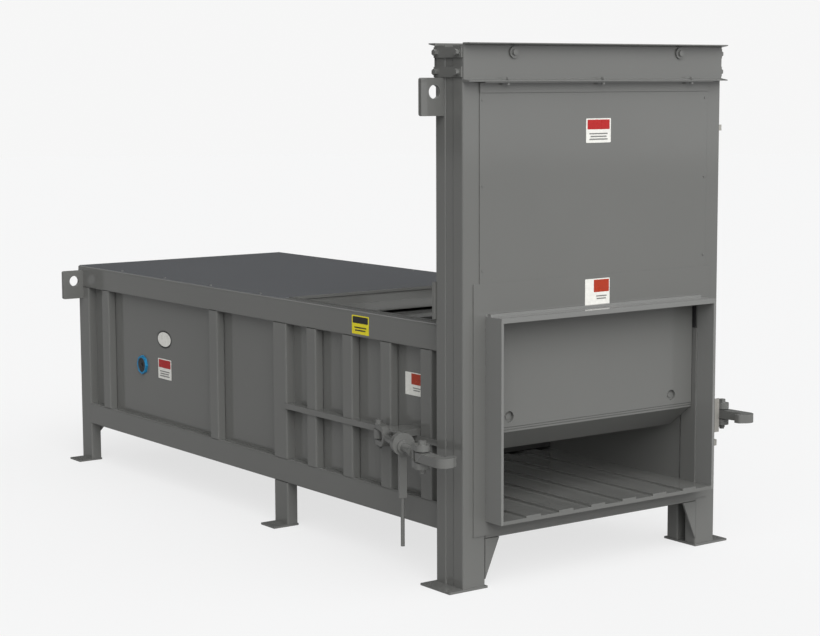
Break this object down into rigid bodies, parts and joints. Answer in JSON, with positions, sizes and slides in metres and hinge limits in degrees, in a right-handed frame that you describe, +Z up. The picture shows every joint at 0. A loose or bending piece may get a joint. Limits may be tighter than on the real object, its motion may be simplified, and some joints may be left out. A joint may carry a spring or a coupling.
{
  "type": "stationary waste compactor",
  "caption": "Stationary waste compactor with an open charge box, a sliding ram, a guillotine door tower at the discharge end and a ratchet clamp with a hook on each side.",
  "frame": {"origin": "centre of the footprint of the whole machine, on the floor", "axes": "+Z up, +Y from the discharge end to the rear end along the ram's travel, +X to the right as seen from the discharge end"},
  "size_m": [2.3324, 4.788, 2.919],
  "materials": {
    "paint": "semi-gloss grey enamel",
    "door_paint": "semi-gloss grey enamel with vertical rub marks",
    "floor_paint": "grey enamel, scuffed along the ram's travel",
    "clamp_paint": "grey enamel over forged steel",
    "steel": "turned steel",
    "chrome": "polished hard chrome",
    "nylon": "black wear plastic",
    "zinc": "zinc plated",
    "blue_plastic": "moulded",
    "decal": "printed vinyl"
  },
  "bodies": {
    "frame": {"left_column": "paint", "right_column": "paint", "column_infill_bars": "paint", "foot_plates": "paint", "front_top_channel": "paint", "rear_top_channel": "paint", "tie_straps": "paint", "hex_bolts": "paint", "access_panel": "paint", "discharge_face_plate": "paint", "discharge_snout": "paint", "chamber_floor": "floor_paint", "floor_wear_bars": "floor_paint", "cross_members": "paint", "gussets": "paint", "rear_tie_plate": "paint", "tower_rear_panel": "paint", "lifting_lugs": "paint", "door_guide_pads": "nylon", "side_liners": "floor_paint", "top_rails": "paint", "bottom_rails": "paint", "posts": "paint", "wall_stiffeners": "paint", "mid_rails": "paint", "chamber_walls": "paint", "housing_side_panels": "paint", "button_screws": "paint", "rear_end_plate": "paint", "housing_cover": "paint", "breaker_bar": "paint", "hose_port": "blue_plastic", "door_switches": "zinc", "door_cylinder_barrels": "paint", "door_upper_pins": "paint", "ram_cylinder_barrel": "paint", "ram_cylinder_rear_pin": "steel", "clamp_brackets": "paint"},
    "door": {"door_face": "door_paint", "door_box": "door_paint", "door_knife": "door_paint", "door_guide_ears": "steel", "door_pins": "paint", "door_cylinder_rods": "chrome"},
    "ram": {"ram_face": "door_paint", "ram_shell": "door_paint", "ram_shoes": "nylon", "ram_cylinder_rod": "chrome", "ram_rod_pin": "steel"},
    "left_yoke": {"left_clamp_yoke": "clamp_paint"},
    "left_barrel": {"left_clamp_barrel": "clamp_paint"},
    "left_handle": {"left_clamp_handle": "clamp_paint"},
    "left_screw": {"left_clamp_screw": "clamp_paint"},
    "left_hook": {"left_clamp_hook": "clamp_paint"},
    "right_yoke": {"right_clamp_yoke": "clamp_paint"},
    "right_barrel": {"right_clamp_barrel": "clamp_paint"},
    "right_handle": {"right_clamp_handle": "clamp_paint"},
    "right_screw": {"right_clamp_screw": "clamp_paint"},
    "right_hook": {"right_clamp_hook": "clamp_paint"}
  },
  "joints": [
    {"name": "door_slide", "type": "slide", "parent": "frame", "child": "door", "axis": [0, 0, 1], "range_m": [-0.304, 0.745]},
    {"name": "ram_slide", "type": "slide", "parent": "frame", "child": "ram", "axis": [0, -1, 0], "range_m": [-0.288, 1.065]},
    {"name": "left_clamp_swing", "type": "hinge", "parent": "frame", "child": "left_yoke", "pos_m": [-0.9, -1.428, 0.739], "axis": [0, 0, -1], "range_deg": [-4, 75]},
    {"name": "left_barrel_spin", "type": "hinge", "parent": "left_yoke", "child": "left_barrel", "pos_m": [-0.9, -1.428, 0.739], "axis": [-0.2924, -0.9563, 0], "range_deg": [-2160, 2160]},
    {"name": "left_handle_swing", "type": "hinge", "parent": "left_yoke", "child": "left_handle", "pos_m": [-0.9, -1.428, 0.739], "axis": [0.2924, 0.9563, 0], "range_deg": [-8, 120]},
    {"name": "left_screw_reach", "type": "slide", "parent": "left_yoke", "child": "left_screw", "axis": [-0.2924, -0.9563, 0], "range_m": [-0.04, 0.04]},
    {"name": "left_hook_swing", "type": "hinge", "parent": "left_screw", "child": "left_hook", "pos_m": [-1.11519, -2.13184, 0.739], "axis": [0, 0, -1], "range_deg": [-8, 100]},
    {"name": "right_clamp_swing", "type": "hinge", "parent": "frame", "child": "right_yoke", "pos_m": [0.9, -1.428, 0.739], "axis": [0, 0, 1], "range_deg": [-4, 75]},
    {"name": "right_barrel_spin", "type": "hinge", "parent": "right_yoke", "child": "right_barrel", "pos_m": [0.9, -1.428, 0.739], "axis": [0.2924, -0.9563, 0], "range_deg": [-2160, 2160]},
    {"name": "right_handle_swing", "type": "hinge", "parent": "right_yoke", "child": "right_handle", "pos_m": [0.9, -1.428, 0.739], "axis": [0.2924, -0.9563, 0], "range_deg": [-8, 120]},
    {"name": "right_screw_reach", "type": "slide", "parent": "right_yoke", "child": "right_screw", "axis": [0.2924, -0.9563, 0], "range_m": [-0.04, 0.04]},
    {"name": "right_hook_swing", "type": "hinge", "parent": "right_screw", "child": "right_hook", "pos_m": [1.11519, -2.13184, 0.739], "axis": [0, 0, 1], "range_deg": [-8, 100]}
  ],
  "couplings": [
    {"joint": "left_screw_reach", "follows": "left_barrel_spin", "m_per_rad": 0.001},
    {"joint": "right_screw_reach", "follows": "right_barrel_spin", "m_per_rad": 0.001}
  ]
}
